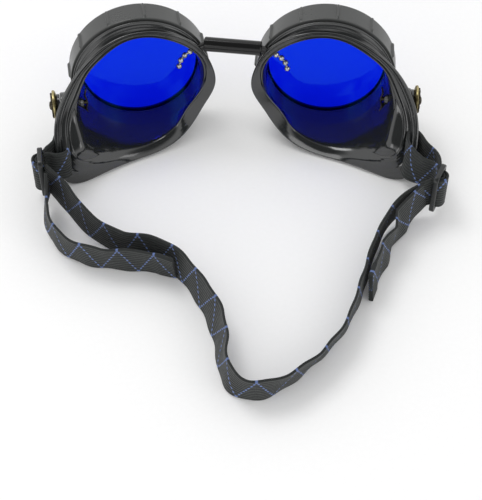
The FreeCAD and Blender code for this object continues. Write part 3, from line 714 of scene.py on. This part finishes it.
def eye_cup(side):
    """Cup: point = (out r cos a, -r sin a, h) for the profile at angle a, on the axes of the cup."""
    angle = np.arange(320) * TURN / 320
    rows = cup_rows(angle, RIM_SPREAD[side])
    radius, height = rows[..., 0], rows[..., 1]
    turn = angle[:, None]
    points = np.stack((SIGN[side] * radius * np.cos(turn), -radius * np.sin(turn), height), -1)
    item = piece(side + "_cup_moulding", [(in_cup(side, points), True, True)], moulded_black())
    path = np.array(((0, 0, -40.0), (0, 0, -19.0)))
    one = np.ones((2, 1))
    block = carried(eased_corners(SLOT, 0.9), path, one * (SIGN[side], 0, 0), one * (0, 1.0, 0))
    carve(item, piece(side + "_slot_cutter", [(capped(block), False, True)], moulded_black()))
    stand_for(item, side + "_cup", side + "_eye_cup")


def capped(points):
    """Grid with its two end rows drawn together to their middles, which closes a prism."""
    ends = points.mean(axis=1, keepdims=True) + 0 * points
    return np.concatenate((ends[:1], points, ends[-1:]))


def on_pin(side, profile, count, extra=None):
    """Grid of a part turned about the split pin of one side."""
    return [(on_temple(side, turned(profile, count, extra)), True, True)]


class GOGGLES_OT_eye_cups(bpy.types.Operator):
    """Moulded eye cups with their rims, strap slots and temple bosses"""
    bl_idname = "goggles.eye_cups"
    bl_label = "Eye cups"

    def execute(self, context):
        for side in SIGN:
            eye_cup(side)
            fixed(side + "_temple_boss", on_pin(side, BOSS, 64), moulded_black(), "moulding", side + "_cup")
        return {"FINISHED"}


class GOGGLES_OT_lens_rings(bpy.types.Operator):
    """Screw-on lens rings with rounded grip ribs"""
    bl_idname = "goggles.lens_rings"
    bl_label = "Lens rings"

    def execute(self, context):
        r = sizes().ring_radius / MM
        count = sizes().rib_count
        high = sizes().rib_height / MM

        def ribs(angle, radius, height):
            """Rib: height * exp(-(arc / half)^4) beside its middle, faded at both ends and only outside."""
            arc = (np.mod((angle + RIB_TURN) * count / TURN, 1.0) - 0.5) * TURN / count * r
            ends = 1 / (1 + np.exp(-(height + 7.9) * 6)) / (1 + np.exp((height - 1.0) * 6))
            return high * np.exp(-(arc / RIB_HALF) ** 4) * ends * (radius > r - 0.4)

        levels = np.linspace(-8.2, 1.1, 24)
        outside = [(r - 0.35, -8.8), (r - 0.1, -8.7), (r, -8.45)] + [(r, level) for level in levels]
        front = [(r, 1.4), (r - 0.15, 1.75), (r - 1.3, 3.0), (r - 1.7, 3.2), (23.9, 3.2), (23.65, 3.05),
                 (RING_OPENING, 2.8), (RING_OPENING, 2.1), (RING_BORE, 2.05)]
        back = [(RING_BORE, -8.5), (26.2, -8.8)]
        black = plastic("ring_black", finishes().ring, 0.27, 0.38, 0.00003, 0.5)
        for side in SIGN:
            grids = [(in_cup(side, turned(outside + front + back, 720, ribs)), True, True)]
            fixed(side + "_ring_body", grids, black, "ring", side + "_ring", side + "_lens_ring")
        return {"FINISHED"}


class GOGGLES_OT_lenses(bpy.types.Operator):
    """Blue lens discs, with the rubber seals behind them"""
    bl_idname = "goggles.lenses"
    bl_label = "Lenses"

    def execute(self, context):
        r = sizes().lens_radius / MM
        profile = ((0, 0), (r - 0.2, 0), (r - 0.05, 0.06), (r, 0.2), (r, 1.8), (r - 0.05, 1.94),
                   (r - 0.2, 2.0), (0, 2.0))
        for side in SIGN:
            grids = [(in_cup(side, turned(profile, 160)), True, False)]
            fixed(side + "_lens_disc", grids, lens_glass("lens_glass"), "lens", side + "_lens_pack",
                  side + "_lens", crease=20)
            seal = frame["nodes"][side + "_lens_seal"].data.materials
            seal.clear()
            seal.append(moulded_black())
        return {"FINISHED"}


class GOGGLES_OT_temple_discs(bpy.types.Operator):
    """Brass discs with their cogs, washers and split pins"""
    bl_idname = "goggles.temple_discs"
    bl_label = "Temple discs"

    def execute(self, context):
        for side in SIGN:
            self.disc(side)
            self.cog(side)
            self.pin(side)
        return {"FINISHED"}

    def disc(self, side):
        """Disc with a rolled rim and a shallow dish, a small hole near its rim, and the washer behind it."""
        brass = antique_brass()
        item = piece(side + "_badge_disc", on_pin(side, DISC, 96), brass)
        hole = rod(np.array((0.3, -4.6, -1.0)), np.array((0.3, -4.6, 3.0)), 0.55, 24)
        carve(item, piece(side + "_hole_cutter", [(on_temple(side, hole), True, False)], brass))
        stand_for(item, side + "_badge", side + "_brass_disc")
        fixed(side + "_badge_washer", on_pin(side, WASHER, 64), moulded_black(), "spacer", side + "_cup",
              side + "_disc_spacer")

    def cog(self, side):
        """Cog: outside radius = root + tooth * smooth square wave round it, with a sunk ring inside."""
        def teeth(angle, radius, height):
            wave = 1 / (1 + np.exp(-9 * (np.cos(COG_TEETH * angle) - 0.05)))
            return TOOTH_HEIGHT * wave * (radius > 3.9)
        fixed(side + "_badge_cog", on_pin(side, COG, 288, teeth), dark_brass(), "cog", side + "_badge",
              side + "_cog")

    def pin(self, side):
        """Split pin: domed head, round post, and two flat legs bent open against the boss."""
        dome = np.linspace(0, math.pi / 2, 10)
        head = [(0, 2.45), (1.7, 2.45)] + [(1.8 * math.cos(a), 2.55 + 0.75 * math.sin(a)) for a in dome]
        post = ((0, PIN_END), (0.9, PIN_END), (0.9, 2.5), (0, 2.5))
        share = np.linspace(0, 1, 18)
        rise = PIN_END + 0.3 + 0.55 * np.sin(math.pi * share) ** 2
        bend = np.stack((0.5 * share ** 2, 0.5 + 5.6 * share, rise), -1)
        width = (1 - 0.35 * share ** 4)[:, None] * (1.0, 0, 0)
        upright = np.ones((18, 1)) * (0, 0, 1.0)
        grids = [(turned(head, 48), True, False), (turned(post, 32), True, False)]
        for way in (1.0, -1.0):
            leg = carried(rounded_box_section(0.8, 0.3, 0.25), bend * (1, way, 1), width, upright)
            grids.append((capped(leg), False, True))
        grids = [(on_temple(side, points), u, v) for points, u, v in grids]
        fixed(side + "_pin_body", grids, dark_brass(), "pin", side + "_cup", side + "_split_pin")


class GOGGLES_OT_bridge(bpy.types.Operator):
    """Tube of the bridge with the ball chain in it and its loose ends in the cups"""
    bl_idname = "goggles.bridge"
    bl_label = "Bridge"

    def execute(self, context):
        ends = [np.array(JOINTS[side + "_fold"]["pos_m"]) for side in SIGN]
        span = np.linalg.norm(ends[1] - ends[0])
        axes = square_to((ends[1] - ends[0]) / span)
        over = 1.3 * MM
        r, bore, soft = 2.9 * MM, 1.7 * MM, 0.35 * MM
        profile = ((bore, -over), (r - soft, -over), (r, soft - over), (r, span + over - soft),
                   (r - soft, span + over), (bore, span + over))
        hose = plastic("hose_black", (0.008, 0.008, 0.008), 0.08, 0.16, 0.00002, 0.4)
        # The chain's steel is mottled dark: painted reflection of dark surroundings, which gives the balls
        # their contrast.
        steel = metal("ball_steel", (0.66, 0.66, 0.67), (0.20, 0.20, 0.21), 700.0)
        tube = ends[0] + turned(profile, 64) @ axes
        fixed("bridge_hose", [(tube, True, True)], hose, "tube", "bridge", "bridge_tube")
        radius = sizes().ball_radius
        steps = np.linspace(0, 1, 7)[:, None]
        balls = ends[0] + steps * (ends[1] - ends[0])
        grids = [(ball(middle, radius), True, False) for middle in balls]
        grids.append((rod(balls[0], balls[-1], 0.45 * MM), True, False))
        fixed("bridge_balls", grids, steel, "chain", "bridge", "bridge_chain")
        for side, end in zip(SIGN, ends):
            balls = in_cup(side, CHAIN_END * (-SIGN[side], -1, -1))
            way = unit(balls[0] - end)
            line = np.concatenate((end[None] + 1.5 * MM * way, balls))
            grids = [(ball(middle, radius), True, False) for middle in balls]
            grids += [(rod(a, b, 0.42 * MM), True, False) for a, b in zip(line, line[1:])]
            fixed(side + "_loose_balls", grids, steel, "chain", side + "_cup", side + "_chain_end")
            sleeve = rod(end + 0.9 * MM * way, balls[0] - 1.6 * MM * way, 1.6 * MM, 32)
            fixed(side + "_chain_sleeve", [(sleeve, True, False)], hose, "tube", side + "_cup")
        return {"FINISHED"}


class GOGGLES_OT_sliders(bpy.types.Operator):
    """Strap sliders with three bars"""
    bl_idname = "goggles.sliders"
    bl_label = "Sliders"

    def execute(self, context):
        outline = rounded_box_section(*SLIDER_OUTLINE, 9)
        ahead = unit(np.roll(outline, -1, axis=0) - np.roll(outline, 1, axis=0))
        path = np.stack((0 * outline[:, 0], outline[:, 0], outline[:, 1]), -1)
        side_way = np.stack((0 * ahead[:, 0], ahead[:, 1], -ahead[:, 0]), -1)
        out_way = np.ones((len(path), 1)) * (1.0, 0, 0)
        hoop = carried(rounded_box_section(*SLIDER_HOOP), path, side_way, out_way)
        post = np.array(((0, 0, -8.6), (0, 0, 8.6)))
        one = np.ones((2, 1))
        bar = carried(rounded_box_section(*SLIDER_BAR), post, one * (0, 1.0, 0), one * (1.0, 0, 0))
        black = plastic("slider_black", finishes().moulding, 0.24, 0.38, 0.00005, 0.5)
        for side in SIGN:
            grids = [(at_slider(side, hoop), True, True), (at_slider(side, capped(bar)), False, True)]
            fixed(side + "_slider_frame", grids, black, "slider", side + "_adjuster", side + "_slider")
        return {"FINISHED"}


def route_line(route, spacing=0.9):
    """Even points along a smooth spline that has the route's points as its control points, their distances
    along it, and the lean in radians there. The route and the spacing are millimetres, the rest is metres."""
    points = np.array(route, float) * (MM, MM, MM, 1)
    curve = bpy.data.curves.new("route", "CURVE")
    curve.dimensions = "3D"
    curve.resolution_u = 32
    spline = curve.splines.new("NURBS")
    spline.points.add(len(points) - 1)
    spline.points.foreach_set("co", np.column_stack((points[:, :3], np.ones(len(points)))).reshape(-1))
    spline.order_u = 3
    spline.use_endpoint_u = True
    carrier = bpy.data.objects.new("route", curve)
    mesh = bpy.data.meshes.new_from_object(carrier)
    line = np.empty(len(mesh.vertices) * 3)
    mesh.vertices.foreach_get("co", line)
    line = line.reshape(-1, 3)
    bpy.data.objects.remove(carrier)
    bpy.data.curves.remove(curve)
    bpy.data.meshes.remove(mesh)
    run = distances(line)
    even = np.linspace(0, run[-1], max(4, round(run[-1] / (spacing * MM)) + 1))
    legs = distances(points[:, :3])
    lean = np.radians(np.interp(even / run[-1], legs / legs[-1], points[:, 3]))
    return np.stack([np.interp(even, run, line[:, axis]) for axis in range(3)], -1), even, lean


def distances(line):
    """Distance of each point along a line of points."""
    return np.append(0, np.cumsum(np.linalg.norm(np.diff(line, axis=0), axis=1)))


def swayed(run, lean, start_period):
    """Lean along a run with the waves of elastic: angle = SWAY * sin(stitches) * sin(share of the run)."""
    along = start_period + run / sizes().stitch_period
    return lean + SWAY * np.sin(TURN * along) * np.sin(math.pi * run / run[-1])


def band(name, line, run, lean, thick=None, start_period=0.0):
    """Webbing along a line: its section stands upright, turned about the line by lean radians.

    Section: a flat rectangle with round edges and fine ribs, height of a rib = |sin| across; its thickness is
    multiplied by thick. Map: u counts zigzags, v runs from the lower to the upper edge on both faces."""
    ahead = unit(np.gradient(line, axis=0))
    flat = unit(np.cross(ahead, (0.0, 0.0, 1.0)))
    up = np.cross(flat, ahead)
    along = start_period + run / sizes().stitch_period
    side = flat * np.cos(lean)[:, None] - up * np.sin(lean)[:, None]
    rise = up * np.cos(lean)[:, None] + flat * np.sin(lean)[:, None]
    half_t, half_w = sizes().strap_thickness / 2, sizes().strap_width / 2
    round_r = half_t * 0.85
    section = rounded_box_section(half_t, half_w, round_r, 4)
    half_f = half_w - round_r
    face = np.linspace(half_f, -half_f, 4 * STRAP_RIBS + 1)[1:-1]
    rib = RIB_DEPTH * (1 - np.abs(np.sin(math.pi * STRAP_RIBS * (face + half_f) / (2 * half_f))))
    left = np.stack((rib - half_t, face), -1)
    section = np.concatenate((section[:8], left, section[8:], left * -1))
    if thick is not None:
        side = side * thick[:, None]
    points = carried(section, line, side, rise)
    along = np.concatenate((np.round(along[:1]), along, np.round(along[-1:])))
    across = np.append(section[:, 1], section[0, 1]) / (2 * half_w) + 0.5
    cloth = webbing("strap_elastic")
    return piece(name, [(capped(points), False, True)], cloth, 70, grid_uv(along, across))


def slider_layer(side, inner, outer, reach):
    """Route of a layer of strap over the middle bar of a slider."""
    points = at_slider(side, ((inner, -reach, 0), (outer, -reach, 0), (outer, reach, 0), (inner, reach, 0)))
    return np.column_stack((points / MM, np.zeros(4)))


class GOGGLES_OT_strap(bpy.types.Operator):
    """Elastic strap: main run, loops through the cups' slots, free tails and the layers in the sliders"""
    bl_idname = "goggles.strap"
    bl_label = "Strap"

    def execute(self, context):
        halves = self.main_run()
        for side in SIGN:
            self.loop(side)
            self.tail(side, *halves[side])
            for name, layer in WRAPS.items():
                route = slider_layer(side, *layer)
                item = band("%s_strap_%s_wrap" % (side, name), *route_line(route, 0.35))
                stand_for(item, side + "_adjuster")
        return {"FINISHED"}

    def main_run(self):
        """Main run in four spans from slider to slider; gives the ends of the two middle spans, the cords."""
        starts = [np.append(at_slider(side, (-1.3, 2.4, 0)) / MM, 0) for side in SIGN]
        line, run, lean = route_line((starts[0], *MAIN_ROUTE, starts[1]))
        lean = swayed(run, lean, MAIN_START)
        halves = {}
        middle = len(line) // 2
        lead = int(np.searchsorted(run, LEAD_LENGTH))
        last = len(line) - 1 - lead
        spans = (("left", 0, lead, "lead"), ("left", lead, middle, "half"), ("right", middle, last, "half"),
                 ("right", last, len(line) - 1, "lead"))
        for side, a, b, part in spans:
            points = line[a:b + 1]
            item = band("%s_strap_%s" % (side, part), points, run[a:b + 1], lean[a:b + 1], None, MAIN_START)
            near, far = (points[0], points[-1]) if side == "left" else (points[-1], points[0])
            if part == "half":
                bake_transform(item)
                halves[side] = near, far
            else:
                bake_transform(item)
            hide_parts("strap_main")
        return halves

    def loop(self, side):
        """Loop from the slider through the slot of the cup and back."""
        line, run, lean = route_line(LOOP_ROUTES[side], 0.6)
        start = LOOP_START[side]
        item = band(side + "_strap_loop_band", line, run, swayed(run, lean, start), start_period=start)
        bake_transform(item)
        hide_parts(side + "_strap_loop")

    def tail(self, side, near, far):
        """Tail in two pieces, split at its first point past near on the way from near towards far.

        Hem: thickness = 1 + 0.8 * smooth step at a hem's length from the end."""
        line, run, lean = route_line(TAIL_ROUTES[side])
        start = TAIL_START[side]
        lean = swayed(run, lean, start)
        thick = 1 + 0.8 / (1 + np.exp((run[-1] - run - HEM) / (0.05 * HEM)))
        split = int(np.argmax((line - near) @ (far - near) > 0))
        for name, a, b in (("lead", 0, split + 1), ("band", split, len(line))):
            item = band("%s_strap_tail_%s" % (side, name), line[a:b], run[a:b], lean[a:b], thick[a:b], start)
            if name == "lead":
                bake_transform(item)
            else:
                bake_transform(item)
            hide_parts(side + "_strap_tail")


def aimed(name, data, place, target):
    """Lamp or camera at a place, turned towards a target."""
    item = linked(name, data)
    item.location = place
    item.rotation_euler = (target - place).to_track_quat("-Z", "Y").to_euler()
    return item


class GOGGLES_OT_stage(bpy.types.Operator):
    """Pale table, soft light and the camera"""
    bl_idname = "goggles.stage"
    bl_label = "Stage"

    def execute(self, context):
        self.table()
        self.light()
        self.camera()
        return {"FINISHED"}

    def table(self):
        material, tree, shader = new_material("table_white", Roughness=0.85, Specular_IOR_Level=0.2)
        paper = blended(tree, noise(tree, 600.0, 2.0), (0.90, 0.90, 0.90, 1), (0.93, 0.93, 0.93, 1))
        tree.links.new(paper, shader.inputs["Base Color"])
        half = np.linspace(-3, 3, 7)
        flat = np.stack(np.broadcast_arrays(half[:, None], half[None, :], np.array(-0.00005)), -1)
        mesh = bpy.data.meshes.new("table")
        mesh.from_pydata(flat.reshape(-1, 3).tolist(), [], quads_of(flat, False, False).tolist())
        mesh.materials.append(material)
        floor = linked("table", mesh)

    def light(self):
        world = bpy.data.worlds.new("studio")
        bpy.context.scene.world = world
        world.use_nodes = True
        tree = world.node_tree
        ground = tree.nodes["Background"]
        ground.inputs["Color"].default_value = (1, 1, 1, 1)
        path = tree.nodes.new("ShaderNodeLightPath").outputs
        toward = tree.nodes.new("ShaderNodeTexCoord").outputs["Generated"]
        gap = add_node(tree, "ShaderNodeVectorMath", operation="DOT_PRODUCT")
        feed(tree, gap.inputs[0], toward)
        feed(tree, gap.inputs[1], DARK_CEILING)
        sky = spread(tree, gap.outputs["Value"], 0.62, 0.90, 1.0, 0.10)
        shiny = calc(tree, "MULTIPLY", path["Is Glossy Ray"], sky)
        seen = calc(tree, "MAXIMUM", path["Is Camera Ray"], path["Is Transmission Ray"])
        soft = calc(tree, "MULTIPLY", path["Is Diffuse Ray"], 0.86)
        strength = calc(tree, "MAXIMUM", calc(tree, "MAXIMUM", seen, shiny), soft)
        tree.links.new(strength, ground.inputs["Strength"])
        for name, (place, size, watts) in LAMPS.items():
            lamp = bpy.data.lights.new(name, "AREA")
            lamp.size = size
            lamp.energy = watts
            aimed(name, lamp, Vector(place), Vector(LAMP_TARGET))

    def camera(self):
        view = bpy.data.cameras.new("camera")
        view.sensor_fit = "HORIZONTAL"
        view.sensor_width = 36.0
        view.lens = 97.1
        bpy.context.scene.camera = aimed("camera", view, CAMERA_TARGET + CAMERA_OFFSET, CAMERA_TARGET)
        bpy.context.scene.view_settings.view_transform = "Standard"


class GOGGLES_PT_sidebar(bpy.types.Panel):
    """Sizes, finishes and the steps that build the goggles"""
    bl_label = "Goggles"
    bl_idname = "GOGGLES_PT_sidebar"
    bl_space_type = "VIEW_3D"
    bl_region_type = "UI"
    bl_category = "Goggles"

    def draw(self, context):
        for group in (context.scene.goggles_sizes, context.scene.goggles_finishes):
            for name in group.__annotations__:
                self.layout.prop(group, name)
        for step in STEPS:
            self.layout.operator(step.bl_idname)


STEPS = (GOGGLES_OT_stage, GOGGLES_OT_strap, GOGGLES_OT_sliders, GOGGLES_OT_eye_cups, GOGGLES_OT_lens_rings,
         GOGGLES_OT_lenses, GOGGLES_OT_temple_discs, GOGGLES_OT_bridge)
CLASSES = (GogglesSizes, GogglesFinishes) + STEPS + (GOGGLES_PT_sidebar,)


def register():
    for kind in CLASSES:
        bpy.utils.register_class(kind)
    bpy.types.Scene.goggles_sizes = bpy.props.PointerProperty(type=GogglesSizes)
    bpy.types.Scene.goggles_finishes = bpy.props.PointerProperty(type=GogglesFinishes)


def unregister():
    del bpy.types.Scene.goggles_finishes
    del bpy.types.Scene.goggles_sizes
    for kind in reversed(CLASSES):
        bpy.utils.unregister_class(kind)


def main():
    """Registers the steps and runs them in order."""
    register()
    bpy.ops.goggles.stage()
    bpy.ops.goggles.strap()
    bpy.ops.goggles.sliders()
    bpy.ops.goggles.eye_cups()
    bpy.ops.goggles.lens_rings()
    bpy.ops.goggles.lenses()
    bpy.ops.goggles.temple_discs()
    bpy.ops.goggles.bridge()


if __name__ == "__main__":
    main()
